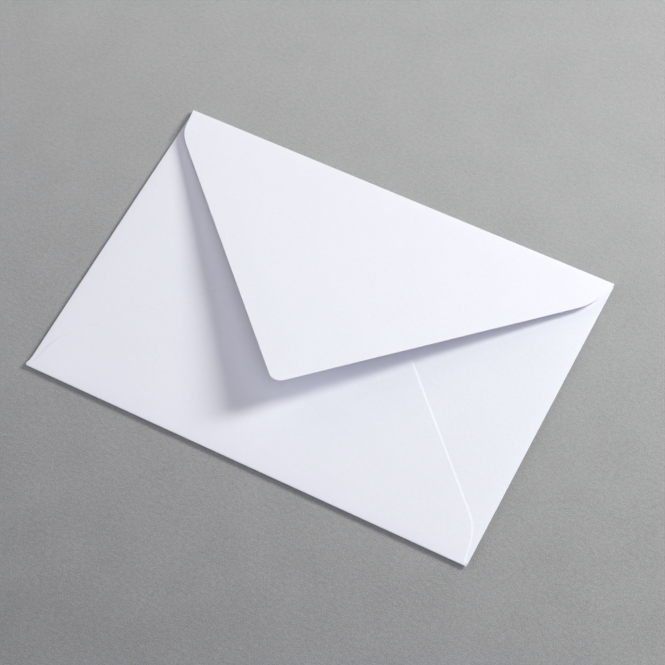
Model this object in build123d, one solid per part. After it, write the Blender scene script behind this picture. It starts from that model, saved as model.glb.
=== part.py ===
from build123d import *
import math
import os

# A C6 paper envelope with a pointed flap: one sheet, cut and folded, lying on its address panel.
# Millimetres, +Z up. The origin is the middle of the closed envelope's footprint, on the surface
# it lies on. +X runs along the bottom fold, and +Y runs towards the fold of the top flap.

# --- Driving dimensions -------------------------------------------------------------------------

WIDTH = 162.0              # between the outsides of the two side folds
HEIGHT = 114.0             # between the outsides of the bottom fold and the top fold
PAPER = 0.14               # thickness of the sheet

POCKET_GAP = 0.40          # free height of the pocket, inside the side folds
FLAP_FOLD_GAP = 1.24       # free height inside the fold of the unsealed top flap
FLAP_LIFT_DEG = 7.9        # slope of the top flap, which has sprung open

FLAP_MARGIN = 0.5          # from the outside of a side fold to the cut edge of a flap, at its fold
CORNER_NOTCH = 0.3         # relief between the end of a side fold and the folds beside it

# Both pointed flaps run from the fold to a shoulder, coming in a little, and then straight to a
# point. Shoulder and point are where the straight edges would meet, before they are rounded.
TOP_SHOULDER_DROP = 11.8       # from the outside of the fold
TOP_SHOULDER_SETBACK = 2.1     # how far the edge has come in
TOP_SHOULDER_RADIUS = 17.0
TOP_POINT = 90.0               # from the outside of the fold
TOP_TIP_RADIUS = 3.8

BOTTOM_SHOULDER_DROP = 13.6
BOTTOM_SHOULDER_SETBACK = 2.7
BOTTOM_SHOULDER_RADIUS = 17.6
BOTTOM_POINT = 91.6
BOTTOM_TIP_RADIUS = 20.0

SIDE_REACH = 67.0          # from the outside of a side fold to where the side flap's edges would meet
SEAM_OVERLAP = 10.0        # width that the bottom flap covers of a side flap, at that flap's tip
SIDE_TIP_RADIUS = 12.0

# --- Sizes that follow --------------------------------------------------------------------------

HALF_TURN = 180            # degrees that a fold pressed flat turns through

half_width = WIDTH / 2
half_height = HEIGHT / 2

side_flap_z = PAPER + POCKET_GAP             # underside of the side flaps
bottom_flap_z = side_flap_z + PAPER          # the bottom flap lies on the side flaps, glued
side_outer = POCKET_GAP / 2 + PAPER          # outer radius of a side fold
bottom_outer = (bottom_flap_z + PAPER) / 2   # outer radius of the bottom fold
top_outer = FLAP_FOLD_GAP / 2 + PAPER        # outer radius of the top fold

panel_x = half_width - side_outer            # where the flat panel ends and a side fold starts
panel_bottom = -half_height + bottom_outer
panel_top = half_height - top_outer
side_fold_bottom = panel_bottom + CORNER_NOTCH
side_fold_top = panel_top - CORNER_NOTCH
flap_half = half_width - FLAP_MARGIN         # half the length of the bottom and the top fold


def address_panel():
    """The flat front of the envelope, which lies on the table."""
    length = panel_top - panel_bottom
    centre = (0, (panel_top + panel_bottom) / 2, 0)
    return extrude(Plane(origin=centre) * Rectangle(2 * panel_x, length), PAPER)


def side_fold(side):
    """A side fold: the edge of the panel turned half round an axis along Y; side is 1 or -1."""
    length = side_fold_top - side_fold_bottom
    middle = (side_fold_top + side_fold_bottom) / 2
    edge = Plane(origin=(side * panel_x, middle, PAPER / 2), x_dir=(0, 1, 0), z_dir=(1, 0, 0))
    axis = Axis((side * panel_x, middle, side_outer), (0, -side, 0))
    return revolve(edge * Rectangle(length, PAPER), axis, HALF_TURN)


def end_fold(y_edge, outer_radius, turn_deg):
    """The bottom or the top fold: the edge of the panel turned round an axis along X."""
    outward = math.copysign(1, y_edge)
    edge = Plane(origin=(0, y_edge, PAPER / 2), x_dir=(1, 0, 0), z_dir=(0, -1, 0))
    axis = Axis((0, y_edge, outer_radius), (outward, 0, 0))
    return revolve(edge * Rectangle(2 * flap_half, PAPER), axis, turn_deg)


def pointed_outline(start, shoulder_setback, shoulder_drop, shoulder_radius, point, tip_radius):
    """Outline of a pointed flap. Local X is the fold, and local Y runs from the fold to the tip."""
    shoulder_half = flap_half - shoulder_setback
    corners = [
        (-flap_half, start),
        (-shoulder_half, shoulder_drop),
        (0, point),
        (shoulder_half, shoulder_drop),
        (flap_half, start),
    ]
    outline = make_face(Polyline(*corners, close=True))
    shoulders = outline.vertices().group_by(Axis.Y)[1]
    outline = fillet(shoulders, shoulder_radius)
    tip = outline.vertices().sort_by(Axis.Y)[-1]
    return fillet(tip, tip_radius)


def bottom_flap():
    """The back of the envelope, lying flat on the side flaps."""
    plane = Plane(origin=(0, -half_height, bottom_flap_z))
    outline = pointed_outline(
        bottom_outer,
        BOTTOM_SHOULDER_SETBACK, BOTTOM_SHOULDER_DROP, BOTTOM_SHOULDER_RADIUS,
        BOTTOM_POINT, BOTTOM_TIP_RADIUS,
    )
    return extrude(plane * outline, PAPER)


def top_flap():
    """The sealing flap, which rises from its fold towards its tip."""
    lift = math.radians(FLAP_LIFT_DEG)
    towards_tip = Vector(0, -math.cos(lift), math.sin(lift))
    upwards = Vector(0, math.sin(lift), math.cos(lift))
    fold_axis = Vector(0, panel_top, top_outer)
    fold_end = fold_axis + upwards * (top_outer - PAPER)
    plane = Plane(origin=fold_end - towards_tip * top_outer, x_dir=(-1, 0, 0), z_dir=upwards)
    outline = pointed_outline(
        top_outer,
        TOP_SHOULDER_SETBACK, TOP_SHOULDER_DROP, TOP_SHOULDER_RADIUS,
        TOP_POINT, TOP_TIP_RADIUS,
    )
    return extrude(plane * outline, PAPER)


def side_flap(side):
    """A side flap: a rounded triangle whose tip lies under the edge of the bottom flap."""
    shoulder_half = flap_half - BOTTOM_SHOULDER_SETBACK
    edge = Vector(-shoulder_half, BOTTOM_POINT - BOTTOM_SHOULDER_DROP).normalized()
    inwards = Vector(-edge.Y, edge.X)
    shoulder = Vector(shoulder_half, -half_height + BOTTOM_SHOULDER_DROP)
    seam_inset = shoulder + inwards * SEAM_OVERLAP
    tip_x = half_width - SIDE_REACH
    tip = seam_inset + edge * ((tip_x - seam_inset.X) / edge.X)
    corners = [
        (side * panel_x, side_fold_bottom),
        (side * panel_x, side_fold_top),
        (side * tip.X, tip.Y),
    ]
    outline = make_face(Polyline(*corners, close=True))
    sharp_tip = outline.vertices().sort_by(Axis.X)[0 if side > 0 else -1]
    outline = fillet(sharp_tip, SIDE_TIP_RADIUS)
    return extrude(Plane(origin=(0, 0, side_flap_z)) * outline, PAPER)


def envelope():
    """The whole sheet. The bottom flap and the side flaps are bonded where they overlap."""
    sheet = address_panel()
    for side in (-1, 1):
        sheet += side_fold(side)
        sheet += side_flap(side)
    sheet += end_fold(panel_bottom, bottom_outer, HALF_TURN)
    sheet += bottom_flap()
    sheet += end_fold(panel_top, top_outer, HALF_TURN - FLAP_LIFT_DEG)
    sheet += top_flap()
    return sheet


os.makedirs("parts", exist_ok=True)
part = envelope().solid()
part.label = "envelope"
export_step(part, "parts/envelope.step")
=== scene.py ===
"""A C6 paper envelope with a pointed flap: one sheet, cut, folded and glued. Metres, +Z up.

The sheet is worked out as it is made. Each flap is laid out flat as a grid that follows its cut
edge, then carried round its fold. Two skins, one on each face of the paper, and a rim along the cut
edge make one closed solid of true thickness.
"""

import bmesh
import bpy
import numpy as np
from mathutils import Matrix, Vector


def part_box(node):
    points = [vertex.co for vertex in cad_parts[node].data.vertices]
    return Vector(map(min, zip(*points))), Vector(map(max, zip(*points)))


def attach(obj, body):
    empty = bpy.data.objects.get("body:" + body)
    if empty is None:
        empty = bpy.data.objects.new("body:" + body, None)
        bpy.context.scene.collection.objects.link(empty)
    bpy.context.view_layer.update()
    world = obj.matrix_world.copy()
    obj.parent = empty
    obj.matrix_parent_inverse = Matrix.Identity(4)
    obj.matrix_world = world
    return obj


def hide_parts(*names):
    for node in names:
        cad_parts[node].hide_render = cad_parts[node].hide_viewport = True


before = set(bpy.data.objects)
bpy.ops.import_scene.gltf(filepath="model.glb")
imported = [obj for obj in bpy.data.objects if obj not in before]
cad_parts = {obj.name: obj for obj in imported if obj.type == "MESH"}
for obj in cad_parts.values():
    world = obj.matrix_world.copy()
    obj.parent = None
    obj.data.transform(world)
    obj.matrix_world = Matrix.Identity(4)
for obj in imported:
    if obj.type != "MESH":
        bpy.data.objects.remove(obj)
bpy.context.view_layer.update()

# --- Sizes ----------------------------------------------------------------------------------------

MM = 0.001
_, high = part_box("envelope")
half_width = high.x                    # outside of a side fold
half_height = high.y                   # outside of the bottom and the top fold

paper = 0.14 * MM                      # thickness of the sheet
pocket_gap = 0.02 * MM                 # free height inside a side fold, where it is creased
flap_fold_gap = 1.24 * MM              # free height inside the fold of the top flap
FLAP_MARGIN = 0.5 * MM                 # from the outside of a side fold to a flap's cut edge
TOP_MARGIN = 0.05 * MM                 # the same at the top fold
corner_notch = 0.3 * MM                # relief at the ends of a side fold

# A pointed flap, laid flat: its straight cut starts at a shoulder, drop from the outside of the
# fold and setback in from the flap's side, and runs to the point.
TOP_DROP, TOP_SETBACK = 11.8 * MM, 2.1 * MM
TOP_SHOULDER_RADIUS = 17.0 * MM
TOP_POINT = 90.0 * MM                  # from the outside of the fold to where the cuts would meet
TOP_TIP_RADIUS = 3.8 * MM
BOTTOM_DROP, BOTTOM_SETBACK = 13.6 * MM, 2.7 * MM
BOTTOM_SHOULDER_RADIUS = 17.6 * MM
BOTTOM_POINT = 91.6 * MM
BOTTOM_TIP_RADIUS = 20.0 * MM
SIDE_REACH = 67.0 * MM                 # from the outside of a side fold to the side flap's point
SIDE_TIP_RADIUS = 12.0 * MM
SEAM_OVERLAP = 10.0 * MM               # how far the bottom flap lies over a side flap

side_flap_z = paper + pocket_gap
bottom_flap_z = side_flap_z + paper
side_outer = pocket_gap / 2 + paper            # outer radii of the folds
bottom_outer = (bottom_flap_z + paper) / 2
top_outer = flap_fold_gap / 2 + paper

panel_x = half_width - side_outer
panel_bottom = -half_height + bottom_outer
panel_top = half_height - top_outer

FIBRE_GAP = 0.01 * MM                  # between the bottom flap and the side flaps it lies on
FIBRE_LENGTH = 1.0 * MM                # distance from the fold over which that gap opens
TIP_CLEARANCE = 0.05 * MM              # from the top of the flap to the top of the part

# Springiness. The closed sides stand a little clear of the table and the front comes down from
# them to lie flat. The back slopes up from its folds, and levels out further in.
LIFT = 0.80 * MM                       # underside of a fold above the table
LIFT_LENGTH = 9 * MM                   # the front comes down over about this distance
LIFT_FROM_TOP = 14 * MM                # the lift grows from the top fold over about this distance
PUFF = 0.24 * MM                       # how far the back rises above its folds
PUFF_LENGTH = 3.2 * MM
CURL = np.radians(3.0)                 # extra slope of the top flap beside its fold
CURL_LENGTH = 3.5 * MM
DROOP = 0.14 * MM                      # how far the gummed border of the top flap bends down
DROOP_WIDTH = 9.5 * MM
DROOP_FROM, DROOP_GROW = 6 * MM, 20 * MM     # droop and cockle start here and grow over this
ASKEW = 0.51 * MM                      # how far towards -X the flap's cut edges lie
ASKEW_LENGTH = 12 * MM                 # distance from the fold over which that grows
COCKLE = 0.02 * MM                     # slight waves of the paper
WAVE_COUNT = 7
WAVELENGTHS = 16, 42                   # shortest and longest, mm
BACK_SEED, FLAP_SEED = 3, 8
EAR = 0.70 * MM                        # how far the bottom left corner splays outwards
EAR_LENGTH = 3.4 * MM
CORNER_RADIUS = 1.1 * MM               # plan radius of that corner

# A cut edge: distances in from it at which the grid has a line.
BAND = np.array([0, 0.03, 0.08, 0.15, 0.24, 0.34, 0.45, 0.57, 0.70, 0.85, 1.2, 1.9]) * MM
CUT_SHARE, CUT_ROUNDING = 0.45, 0.1 * MM     # how square a clean cut is, and over what width
SEAM_PRESS = 0.78 * MM                 # width over which the glued seam is pressed down
SEAM_SHARE = 0.12                      # share of the paper's thickness left at its edge
SEAM_GROW = 1.0 * MM                   # distance from the fold over which the press sets in

# Grid steps
BEND_STEPS = 10
ARC_STEPS = 9
ROW_SPACING = 1.0 * MM
SIDE_ROW_SPACING = 1.4 * MM
PROFILE_STEP, PROFILE_LENGTH = 0.05 * MM, 130 * MM
LEAST_SLANT = 0.2                      # an edge this flat steps no further along its row
SQUARE_FROM, SQUARE_OVER = 0.5, 0.35   # shares of the rows where the band turns square to the edge
CELLS_ACROSS = 64                      # grid cells between the two bands of a row
WELD = 1e-7                            # points closer than this are one

UP = np.array([0, 0, 1.0])


def smooth(x):
    """The smooth step: 0 below 0, 1 above 1, 3x^2 - 2x^3 between."""
    x = np.clip(x, 0, 1)
    return x * x * (3 - 2 * x)


# --- Flat outlines --------------------------------------------------------------------------------

def turned(vectors, angle):
    """Vectors of the plane turned anticlockwise by the angle."""
    c, s = np.cos(angle), np.sin(angle)
    x, y = vectors[..., 0], vectors[..., 1]
    return np.stack([c * x - s * y, s * x + c * y], -1)


def unit(vector):
    return vector / np.linalg.norm(vector)


def rounded_run(corners, radii, spacing):
    """Points along straight runs joined by arcs, and the normals on their left.

    An arc leaves its run at radius * tan(turn / 2) before the corner, and its points are its start
    turned about its centre. Runs are divided evenly, at about the spacing.
    """
    corners = [np.asarray(c, float) for c in corners]
    points, normals = [], []
    start = corners[0]
    for i in range(1, len(corners)):
        ahead = unit(corners[i] - corners[i - 1])
        left = turned(ahead, np.pi / 2)
        last = i == len(corners) - 1
        if last:
            end = corners[i]
        else:
            after = unit(corners[i + 1] - corners[i])
            turn = np.arctan2(ahead[0] * after[1] - ahead[1] * after[0], ahead @ after)
            end = corners[i] - ahead * radii[i - 1] * np.tan(abs(turn) / 2)
        length = (end - start) @ ahead
        if length > spacing * 0.01:
            share = np.linspace(0, 1, int(np.ceil(length / spacing)) + 1)[:-1, None]
            points.append(start + share * (end - start))
            normals.append(np.repeat(left[None], len(share), 0))
        if last:
            points.append(end[None])
            normals.append(left[None])
        else:
            centre = end + left * radii[i - 1] * np.sign(turn)
            angles = np.linspace(0, turn, ARC_STEPS + 1)
            arc = centre + turned((end - centre)[None], angles)
            points.append(arc[:-1])
            normals.append(turned(left[None], angles)[:-1])
            start = arc[-1]
    return np.concatenate(points), np.concatenate(normals)


def half_outline(corners, radii, tip, inward, tip_radius, spacing):
    """The cut edge from a fold's end to the middle of the rounded tip.

    The tip is a corner whose bisector points inward. The arc's middle lies tip_radius / sin(half
    angle) - tip_radius from the corner, and the tangent there stands in for the last corner.
    """
    edge = unit(np.asarray(corners[-1], float) - tip)
    half_angle = np.arccos(edge @ inward)
    setback = tip_radius / np.sin(half_angle) - tip_radius
    middle = tip + inward * setback
    on_edge = tip + edge * setback / np.cos(half_angle)
    return rounded_run([*corners, on_edge, middle], [*radii, tip_radius], spacing)


def flap_grid(right, left):
    """Rows across a flap between two halves of its cut edge, as places in the flat sheet.

    Beside each edge a row has a line at every distance of BAND, measured square to the edge. Those
    lines step along the row near the fold, and square to the edge at the tip. Between the bands a
    row is straight and evenly divided.
    """
    sides = []
    for (points, normals), along in ((right, -1.0), (left, 1.0)):
        row_step = np.zeros_like(normals)
        slant = np.where(abs(normals[:, 0]) > LEAST_SLANT, normals[:, 0], along * LEAST_SLANT)
        row_step[:, 0] = 1 / slant
        steps = len(points)
        square = smooth((np.arange(steps) / steps - SQUARE_FROM) / SQUARE_OVER)[:, None]
        inward = row_step * (1 - square) + normals * square
        inward[0] = (along, 0)
        sides.append(points[:, None] + inward[:, None] * BAND[None, :, None])
    right_band, left_band = sides
    share = np.linspace(0, 1, CELLS_ACROSS + 1)[1:-1, None]
    inner_right, inner_left = right_band[:, -1:], left_band[:, -1:]
    inside = inner_left + (inner_right - inner_left) * share[None]
    return np.concatenate([left_band, inside, right_band[:, ::-1]], 1)


def edge_distance():
    """For each line of a flap grid, its distance from the cut edge, capped at the band's width."""
    middle = np.full(CELLS_ACROSS - 1, BAND[-1])
    return np.concatenate([BAND, middle, BAND[::-1]])


def pointed_flap(fold_half, outer, drop, setback, shoulder_radius, point, tip_radius):
    """Flat grid of a pointed flap: (distance along the fold, distance from the fold's outside)."""
    shoulder = half_width - FLAP_MARGIN - setback
    tip = np.array([0, point])
    corners = [(fold_half, outer), (shoulder, drop)]
    inward = np.array([0, -1.0])
    points, normals = half_outline(corners, [shoulder_radius], tip, inward, tip_radius,
                                   ROW_SPACING)
    mirror = np.array([-1, 1])
    return flap_grid((points, normals), (points * mirror, normals * mirror))


def mirrored_run(corners, radii, tip, inward, tip_radius, spacing):
    """A half outline on the other side, worked out in the mirror so that normals point inward."""
    mirror = np.array([-1.0, 1.0])
    corners = [np.asarray(c) * mirror for c in corners]
    points, normals = half_outline(corners, radii, tip * mirror, inward * mirror, tip_radius,
                                   spacing)
    return points * mirror, normals * mirror


# --- Folding --------------------------------------------------------------------------------------

def fold_profile(outer, slope):
    """Where the middle of the sheet goes: (length along it, outward, up, direction).

    Round the fold it follows an arc of half a turn less the slope where the flap starts. Past the
    arc its direction is half a turn less slope(length), summed in short steps.
    """
    radius = outer - paper / 2
    turn = np.pi - slope(0.0)
    angle = np.linspace(0, turn, BEND_STEPS * 8 + 1)
    length = radius * angle
    outward = radius * np.sin(angle)
    up = outer - radius * np.cos(angle)
    run = np.arange(1, int(PROFILE_LENGTH / PROFILE_STEP)) * PROFILE_STEP
    heading = np.pi - slope(run - PROFILE_STEP / 2)
    length = np.r_[length, length[-1] + run]
    outward = np.r_[outward, outward[-1] + np.cumsum(np.cos(heading) * PROFILE_STEP)]
    up = np.r_[up, up[-1] + np.cumsum(np.sin(heading) * PROFILE_STEP)]
    return length, outward, up, np.r_[angle, heading]


class Skin:
    """Points of both faces of one region of the sheet, as grids, with their places in the blank."""

    def __init__(self, outside, inside, blank):
        self.outside, self.inside, self.blank = outside, inside, blank


def level(run):
    """The slope of a flap that lies flat."""
    return np.zeros_like(run)


def fold_stations(low_end, high_end):
    """Where grid lines cross a fold: at every distance of BAND from each end, and evenly between.

    They depend on the fold's ends alone, so flaps on opposite sides of the panel share them.
    """
    between = np.linspace(low_end + BAND[-1], high_end - BAND[-1], CELLS_ACROSS + 1)[1:-1]
    return np.concatenate([low_end + BAND, between, high_end - BAND[::-1]])


def folded(flat, fold_line, along, outward, outer, slope, edge, raise_by):
    """Carries a flat grid round its fold.

    A place (s, v) of the grid lies v - outer beyond the end of the bend. Its point is s along the
    fold, plus the profile's outward and up parts, plus the offset of its skin along the normal.
    edge gives the sheet's thickness at each grid place. raise_by gives the height added at a place:
    past is 0 in the bend and 1 beyond it.
    """
    length, out, up, heading = fold_profile(outer, slope)
    bend = (outer - paper / 2) * (np.pi - slope(0.0))
    bend_rows = np.linspace(0, 1, BEND_STEPS + 1)[:-1]
    low_end, high_end = fold_line[1:]
    first = flat[0, :, 0]
    panel_line = fold_stations(low_end, high_end)
    grow = smooth(bend_rows)[:, None]
    s = np.concatenate([panel_line * (1 - grow) + first * grow, flat[:, :, 0]])
    run = np.concatenate([np.repeat(bend_rows[:, None] * bend, len(first), 1),
                          bend + flat[:, :, 1] - outer])
    thickness = np.concatenate([np.full((BEND_STEPS, len(first)), paper), edge(flat)])
    past = np.concatenate([np.zeros((BEND_STEPS, len(first))),
                           smooth((flat[:, :, 1] - outer) / FIBRE_LENGTH)])
    o, z, angle = (np.interp(run, length, values) for values in (out, up, heading))
    along, outward = np.asarray(along, float), np.asarray(outward, float)
    normal = np.sin(angle)[..., None] * outward - np.cos(angle)[..., None] * UP
    middle = (s[..., None] * along + (fold_line[0] + o)[..., None] * outward
              + z[..., None] * UP)
    outer_skin = middle + normal * (thickness - paper / 2)[..., None]
    inner_skin = middle - normal * (paper / 2)
    rise = raise_by(middle[..., 0], middle[..., 1], flat, past)
    outer_skin[..., 2] += rise
    inner_skin[..., 2] += rise
    blank = s[..., None] * along[:2] + (fold_line[0] + run)[..., None] * outward[:2]
    return Skin(outer_skin, inner_skin, blank)


def waves(x, y, seed):
    """Slight cockle of the paper: a few long sine waves in seeded directions."""
    rng = np.random.default_rng(seed)
    total = np.zeros_like(x)
    for _ in range(WAVE_COUNT):
        direction, phase = rng.uniform(0, 2 * np.pi, 2)
        wavelength = rng.uniform(*WAVELENGTHS) * MM
        along = x * np.cos(direction) + y * np.sin(direction)
        total += np.sin(2 * np.pi * along / wavelength + phase)
    return COCKLE * total / np.sqrt(WAVE_COUNT)


def away_from_sides(x, y, length):
    """0 on the closed sides and 1 well inside them: 1 - e^(-distance / length), for each side."""
    share = np.ones_like(x)
    for distance in (panel_x - x, panel_x + x, y - panel_bottom):
        share = share * (1 - np.exp(-np.maximum(distance, 0) / length))
    return share


def fold_lift(y):
    """Height of the closed sides above the table: nothing at the top fold, growing away from it."""
    return LIFT * (1 - np.exp(-np.maximum(panel_top - y, 0) / LIFT_FROM_TOP))


def front_rise(x, y):
    """The lift of the folds, which fades towards the middle of the front."""
    return fold_lift(y) * (1 - away_from_sides(x, y, LIFT_LENGTH))


def back_rise(x, y, flat, past):
    """The lift of the folds, and above it the puff and the cockle further in."""
    return fold_lift(y) + (PUFF + waves(x, y, BACK_SEED)) * away_from_sides(x, y, PUFF_LENGTH)


def eared(points):
    """Splays the bottom left corner towards -X. The shift fades a short distance from it."""
    points = points.copy()
    near = smooth(1 - (points[:, 1] + half_height) / EAR_LENGTH)
    near = near * smooth(1 - (points[:, 0] + half_width) / EAR_LENGTH)
    points[:, 0] -= EAR * near
    inward = CORNER_RADIUS - points[:, :2] - (half_width + EAR, half_height)
    reach = np.linalg.norm(inward, axis=1)
    beyond = (inward > 0).all(1) & (reach > CORNER_RADIUS)
    pull = np.where(beyond, 1 - CORNER_RADIUS / np.maximum(reach, CORNER_RADIUS), 0)
    points[:, :2] += inward * pull[:, None]
    return points


# --- The sheet's regions --------------------------------------------------------------------------

def crisp(flat):
    """Thickness beside a clean cut: the corners of the edge are very slightly rounded."""
    at = smooth(CUT_SHARE + edge_distance() / CUT_ROUNDING)
    return np.broadcast_to(paper * at, flat.shape[:2])


def pressed(flat):
    """Thickness beside the glued seam, which is pressed down towards its cut edge."""
    at = SEAM_SHARE + (1 - SEAM_SHARE) * smooth(edge_distance() / SEAM_PRESS)
    grow = smooth((flat[:, :, 1] - bottom_outer) / SEAM_GROW)
    clean = crisp(flat)
    return clean + (paper * at[None] - clean) * grow


def bottom_flap():
    """The pointed back, which lies on the side flaps."""
    flat = pointed_flap(half_width - FLAP_MARGIN, bottom_outer, BOTTOM_DROP, BOTTOM_SETBACK,
                        BOTTOM_SHOULDER_RADIUS, BOTTOM_POINT, BOTTOM_TIP_RADIUS)

    def rise(x, y, flat, past):
        return back_rise(x, y, flat, past) + FIBRE_GAP * past

    return folded(flat, (-panel_bottom, -panel_x, panel_x), (1, 0, 0), (0, -1, 0),
                  bottom_outer, level, pressed, rise)


def top_flap():
    """The open flap. Its slope is such that its tip ends just below the part's full height."""
    flat = pointed_flap(half_width - TOP_MARGIN, top_outer, TOP_DROP, TOP_SETBACK,
                        TOP_SHOULDER_RADIUS, TOP_POINT, TOP_TIP_RADIUS)
    flat[:, :, 0] -= ASKEW * smooth((flat[:, :, 1] - top_outer) / ASKEW_LENGTH)
    reach = flat[:, :, 1].max() - top_outer
    climb = high.z - 2 * top_outer - CURL * CURL_LENGTH - TIP_CLEARANCE
    rest_slope = np.arcsin(climb / reach)

    def slope(run):
        return rest_slope + CURL * np.exp(-run / CURL_LENGTH)

    def rise(x, y, flat, past):
        edge = unit(np.array([half_width - FLAP_MARGIN - TOP_SETBACK, TOP_POINT - TOP_DROP]))
        from_edge = (TOP_POINT - flat[:, :, 1]) * edge[0] - abs(flat[:, :, 0]) * edge[1]
        from_fold = smooth((flat[:, :, 1] - DROOP_FROM) / DROOP_GROW)
        droop = -DROOP * smooth(1 - from_edge / DROOP_WIDTH) * from_fold
        cockle = waves(x[-len(flat):], y[-len(flat):], FLAP_SEED) * from_fold
        return np.concatenate([np.zeros((BEND_STEPS, flat.shape[1])), droop + cockle])

    return folded(flat, (panel_top, -panel_x, panel_x), (1, 0, 0), (0, 1, 0),
                  top_outer, slope, crisp, rise)


def side_flap(side):
    """A rounded triangle whose tip lies under the bottom flap's edge; side is 1 or -1."""
    shoulder = np.array([half_width - FLAP_MARGIN - BOTTOM_SETBACK, -half_height + BOTTOM_DROP])
    edge = unit(np.array([0, -half_height + BOTTOM_POINT]) - shoulder)
    inset = shoulder + turned(edge, np.pi / 2) * SEAM_OVERLAP
    tip_x = half_width - SIDE_REACH
    tip_y = inset[1] + edge[1] * (tip_x - inset[0]) / edge[0]
    tip = np.array([tip_y, half_width - tip_x])
    top_end = (panel_top - corner_notch, side_outer)
    bottom_end = (panel_bottom + corner_notch, side_outer)
    inward = unit(unit(np.array(top_end) - tip) + unit(np.array(bottom_end) - tip))
    upper = half_outline([top_end], [], tip, inward, SIDE_TIP_RADIUS, SIDE_ROW_SPACING)
    lower = mirrored_run([bottom_end], [], tip, inward, SIDE_TIP_RADIUS, SIDE_ROW_SPACING)
    rows = min(len(upper[0]), len(lower[0]))
    upper, lower = (resampled(half, rows) for half in (upper, lower))
    flat = flap_grid(upper, lower)
    return folded(flat, (panel_x, panel_bottom, panel_top), (0, 1, 0), (side, 0, 0),
                  side_outer, level, crisp, back_rise)


def resampled(half, rows):
    """A half outline at another number of points, evenly by index."""
    points, normals = half
    at = np.linspace(0, len(points) - 1, rows)
    index = np.arange(len(points))
    points = np.stack([np.interp(at, index, points[:, i]) for i in (0, 1)], 1)
    normals = np.stack([np.interp(at, index, normals[:, i]) for i in (0, 1)], 1)
    return points, normals / np.linalg.norm(normals, axis=1, keepdims=True)


def address_panel(top, side):
    """The flat front: its grid lines are those where the flaps' folds start."""
    x, y = top.blank[0, :, 0], side.blank[0, :, 1]
    grid = np.stack(np.meshgrid(x, y), -1)
    outside = np.concatenate([grid, front_rise(grid[..., :1], grid[..., 1:])], -1)
    inside = outside + np.array([0, 0, paper])
    return Skin(outside, inside, grid)


def grid_faces(rows, columns, first):
    """The four-sided faces of a grid whose points are numbered in rows from first."""
    at = first + np.arange(rows * columns).reshape(rows, columns)
    return np.stack([at[:-1, :-1], at[1:, :-1], at[1:, 1:], at[:-1, 1:]], -1).reshape(-1, 4)


def sheet_mesh(regions, panel):
    """Joins the regions: both skins of each, and a rim along both cut edges of each flap."""
    points, blanks, faces, count = [], [], [], 0
    for region in [panel, *regions]:
        rows, columns = region.blank.shape[:2]
        size = rows * columns
        for skin, face in ((region.outside, 0.0), (region.inside, 1.0)):
            points.append(skin.reshape(-1, 3))
            blanks.append(np.c_[region.blank.reshape(-1, 2), np.full(size, face)])
            faces.append(grid_faces(rows, columns, count if face == 0 else count + size))
        if region is not panel:
            for column in (0, columns - 1):
                line = count + np.arange(rows) * columns + column
                faces.append(np.stack([line[:-1], line[1:], line[1:] + size, line[:-1] + size], -1))
        count += 2 * size
    points, blanks, faces = (np.concatenate(part) for part in (points, blanks, faces))
    points = eared(points)
    mesh = bpy.data.meshes.new("envelope_sheet")
    mesh.from_pydata(points.tolist(), [], faces.tolist())
    place = mesh.attributes.new("blank", "FLOAT_VECTOR", "POINT")
    place.data.foreach_set("vector", blanks.astype(np.float32).ravel())
    work = bmesh.new()
    work.from_mesh(mesh)
    bmesh.ops.remove_doubles(work, verts=work.verts, dist=WELD)
    bmesh.ops.recalc_face_normals(work, faces=work.faces)
    if work.calc_volume(signed=True) < 0:
        bmesh.ops.reverse_faces(work, faces=work.faces)
    for face in work.faces:
        face.smooth = True
    work.to_mesh(mesh)
    work.free()
    return mesh


# --- Materials ------------------------------------------------------------------------------------

class Value:
    """A number that varies over a surface. Arithmetic on it adds Math nodes."""

    def __init__(self, shader, socket):
        self.shader, self.socket = shader, socket

    def math(self, operation, *others, clamp=False):
        inputs = {i: other for i, other in enumerate((self, *others))}
        settings = {"operation": operation, "use_clamp": clamp}
        return self.shader.value("ShaderNodeMath", settings, inputs)

    def __add__(self, other):
        return self.math("ADD", other)

    def __sub__(self, other):
        return self.math("SUBTRACT", other)

    def __mul__(self, other):
        return self.math("MULTIPLY", other)

    def __truediv__(self, other):
        return self.math("DIVIDE", other)

    def __rsub__(self, other):
        return (self * -1.0) + other

    __radd__ = __add__
    __rmul__ = __mul__

    def clipped(self):
        return self.math("ADD", 0.0, clamp=True)

    def above(self, level, softness):
        """0 below the level, 1 above it, over the given softness."""
        return ((self - level) / softness + 0.5).clipped()


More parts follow.
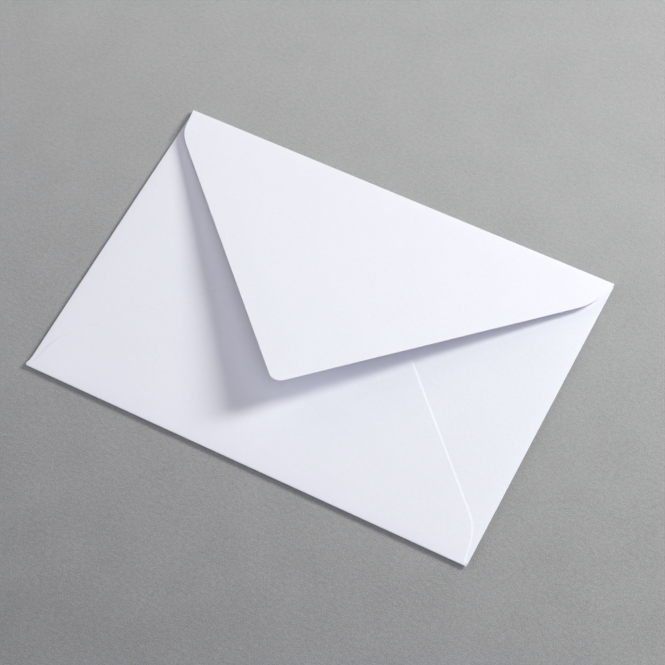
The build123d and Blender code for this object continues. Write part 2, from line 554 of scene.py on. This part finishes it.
class Shader:
    """A material whose nodes come from one method."""

    def __init__(self, name):
        self.material = bpy.data.materials.new(name)
        self.material.use_nodes = True
        self.tree = self.material.node_tree
        self.surface = self.tree.nodes["Principled BSDF"]

    def node(self, kind, settings=None, inputs=None):
        """Adds a node: its settings first, then the values or links of its sockets."""
        made = self.tree.nodes.new(kind)
        for name, value in (settings or {}).items():
            setattr(made, name, value)
        self.fill(made, inputs or {})
        return made

    def fill(self, made, inputs):
        for name, value in inputs.items():
            if isinstance(value, Value):
                value = value.socket
            if isinstance(value, bpy.types.NodeSocket):
                self.tree.links.new(value, made.inputs[name])
            else:
                made.inputs[name].default_value = value

    def value(self, kind, settings=None, inputs=None, output=0):
        return Value(self, self.node(kind, settings, inputs).outputs[output])

    def noise(self, vector, scale, detail=2.0, roughness=0.5):
        inputs = {"Vector": vector, "Scale": scale, "Detail": detail, "Roughness": roughness}
        return self.value("ShaderNodeTexNoise", {}, inputs, "Fac")

    def stretched(self, vector, scale):
        """Coordinates with each axis scaled: below 1 a pattern is drawn out along that axis."""
        return self.node("ShaderNodeMapping", {}, {"Vector": vector, "Scale": scale}).outputs[0]

    def bump(self, height, distance):
        inputs = {"Strength": 1.0, "Distance": distance, "Height": height}
        return self.node("ShaderNodeBump", {}, inputs).outputs[0]

    def mixed(self, share, first, second):
        """A colour between two others."""
        settings = {"data_type": "RGBA"}
        made = self.node("ShaderNodeMix", settings, {0: share, 6: (*first, 1), 7: (*second, 1)})
        return made.outputs[2]


# Colours, and noise scales in cells per metre.
PAPER_COLOUR = (0.862, 0.872, 0.921)
PAPER_THIN = (0.828, 0.838, 0.888)
# Painted light: the floor's two colours make it darker at the front and lighter at the back,
# standing in for the lamps' falloff across it.
FLOOR_PAINTED_DARK = (0.227, 0.228, 0.225)
FLOOR_PAINTED_LIGHT = (0.485, 0.483, 0.481)
PAPER_WIDE, PAPER_CLOUD, PAPER_FLECK, PAPER_FELT, PAPER_FIBRE = 75, 520, 700, 1400, 2900
PAPER_RELIEF = 0.098 * MM
FLOOR_BLOTCH, FLOOR_TOOTH, FLOOR_SPECK = 60, 900, 2600
FLOOR_RELIEF = 0.09 * MM
PAINTED_LIGHT_FRONT, PAINTED_LIGHT_RUN = -0.135, 0.225      # where the floor starts to get lighter, and over what


def paper_material():
    """Cool white wove paper: cloudy formation, fine fibres, and a few tiny flecks."""
    shader = Shader("paper")
    blank = shader.node("ShaderNodeAttribute", {"attribute_name": "blank"}).outputs["Vector"]
    grain = shader.stretched(blank, (1.0, 0.55, 0.3))
    cloud = shader.noise(blank, PAPER_CLOUD, 2.0, 0.55)
    fibre = shader.noise(grain, PAPER_FIBRE, 3.0, 0.65)
    wide = shader.noise(blank, PAPER_WIDE, 2.0, 0.5)
    tone = (cloud - 0.5) * 0.7 + (fibre - 0.5) * 1.1 + (wide - 0.5) * 0.6 + 0.55
    fleck = shader.noise(blank, PAPER_FLECK, 0.0, 0.0).above(0.86, 0.02)
    colour = shader.mixed((tone - fleck * 0.8).clipped(), PAPER_THIN, PAPER_COLOUR)
    felt = shader.noise(grain, PAPER_FELT, 2.0, 0.5)
    relief = (cloud - 0.5) * 0.4 + (felt - 0.5) * 0.4 + (fibre - 0.5) * 0.4
    shader.fill(shader.surface, {
        "Base Color": colour,
        "Roughness": cloud * 0.06 + 0.80,
        "Normal": shader.bump(relief, PAPER_RELIEF),
        "Specular IOR Level": 0.35,
    })
    return shader.material


def floor_material():
    """Grey card with a fibrous tooth, and a painted pool of light: its colour is lighter towards
    the back.
    """
    shader = Shader("studio_floor")
    place = shader.node("ShaderNodeTexCoord").outputs["Object"]
    along = Value(shader, shader.node("ShaderNodeSeparateXYZ", {}, {"Vector": place}).outputs["Y"])
    # Painted light: the share of the lighter floor colour grows from the front to the back,
    # standing in for the lamps' falloff.
    painted_light_share = ((along - PAINTED_LIGHT_FRONT) / PAINTED_LIGHT_RUN).clipped()
    share = painted_light_share.math("POWER", 0.85) * 0.6 + 0.2
    streak = shader.stretched(place, (0.6, 1.0, 1.0))
    tooth = shader.noise(streak, FLOOR_TOOTH, 3.0, 0.7)
    speck = shader.noise(place, FLOOR_SPECK, 2.0, 0.6)
    blotch = shader.noise(place, FLOOR_BLOTCH, 3.0, 0.5)
    mottle = (tooth - 0.5) * 0.55 + (speck - 0.5) * 1.5 + (blotch - 0.5) * 0.22
    colour = shader.mixed((share + mottle).clipped(), FLOOR_PAINTED_DARK, FLOOR_PAINTED_LIGHT)
    shader.fill(shader.surface, {
        "Base Color": colour,
        "Roughness": 0.9,
        "Specular IOR Level": 0.2,
        "Normal": shader.bump(tooth * 0.5 + speck * 0.5, FLOOR_RELIEF),
    })
    return shader.material


# --- Build ----------------------------------------------------------------------------------------

def add_object(name, mesh, material):
    made = bpy.data.objects.new(name, mesh)
    bpy.context.scene.collection.objects.link(made)
    made.data.materials.append(material)
    return made


top, bottom, right, left = top_flap(), bottom_flap(), side_flap(1), side_flap(-1)
mesh = sheet_mesh([top, bottom, right, left], address_panel(top, right))
sheet = add_object("envelope_sheet", mesh, paper_material())
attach(sheet, "root")
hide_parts("envelope")


def floor():
    """A level square floor, a hair below the envelope."""
    reach, height = 2.5, -0.02 * MM
    corners = [(x, y, height) for x, y in
               ((-reach, -reach), (reach, -reach), (reach, reach), (-reach, reach))]
    mesh = bpy.data.meshes.new("studio_floor")
    mesh.from_pydata(corners, [], [(0, 1, 2, 3)])
    return add_object("studio_floor", mesh, floor_material())


floor()


# --- Light and camera -----------------------------------------------------------------------------

def towards(azimuth, elevation):
    """Unit vector at an azimuth from +X towards +Y and an elevation above the table, in degrees."""
    a, e = np.radians(azimuth), np.radians(elevation)
    return Vector((np.cos(a) * np.cos(e), np.sin(a) * np.cos(e), np.sin(e)))


def area_lamp(name, direction, distance, width, height, strength, colour):
    """A soft lamp facing the envelope.

    At strength 1 a surface square to it renders as its own colour: the power is pi^2 distance^2.
    """
    lamp = bpy.data.lights.new(name, "AREA")
    lamp.shape = "ELLIPSE"
    lamp.size, lamp.size_y = width, height
    lamp.energy = strength * np.pi ** 2 * distance ** 2
    lamp.color = colour
    made = bpy.data.objects.new(name, lamp)
    made.location = direction * distance
    made.rotation_euler = direction.to_track_quat("Z", "Y").to_euler()
    bpy.context.scene.collection.objects.link(made)


def camera(aim, azimuth, elevation, roll, distance, lens):
    """Looks at aim from an azimuth (0 looks along +Y) and elevation, turned about its own axis."""
    a, e = np.radians(azimuth), np.radians(elevation)
    back = Vector((np.sin(a) * np.cos(e), -np.cos(a) * np.cos(e), np.sin(e)))
    data = bpy.data.cameras.new("camera")
    data.lens = lens
    data.sensor_width = 36
    data.clip_start, data.clip_end = 0.01, 20
    made = bpy.data.objects.new("camera", data)
    turn = (-back).to_track_quat("-Z", "Y").to_matrix().to_4x4()
    place = Matrix.Translation(Vector(aim) + back * distance)
    made.matrix_world = place @ turn @ Matrix.Rotation(np.radians(roll), 4, "Z")
    bpy.context.scene.collection.objects.link(made)
    bpy.context.scene.camera = made


area_lamp("key_lamp", towards(47.6, 31.2), 1.15, 0.327, 0.436, 0.985, (0.985, 1.0, 0.945))
area_lamp("side_fill", towards(158, 38), 1.5, 1.4, 1.4, 0.20, (1.0, 0.975, 0.94))
area_lamp("left_fill", towards(216, 20), 1.5, 1.2, 0.8, 0.25, (0.93, 0.95, 1.0))
area_lamp("front_fill", towards(322, 58), 2.4, 2.0, 2.0, 0.42, (0.86, 0.85, 1.0))
camera(aim=(0.00435, -0.00062, 0), azimuth=31.87, elevation=60.95, roll=-5.0,
       distance=0.7273, lens=118.16)

world = bpy.data.worlds.new("studio")
bpy.context.scene.world = world
world.use_nodes = True
background = world.node_tree.nodes["Background"]
background.inputs["Color"].default_value = (0.9, 0.95, 1.0, 1)
background.inputs["Strength"].default_value = 0.02
bpy.context.scene.view_settings.view_transform = "Standard"
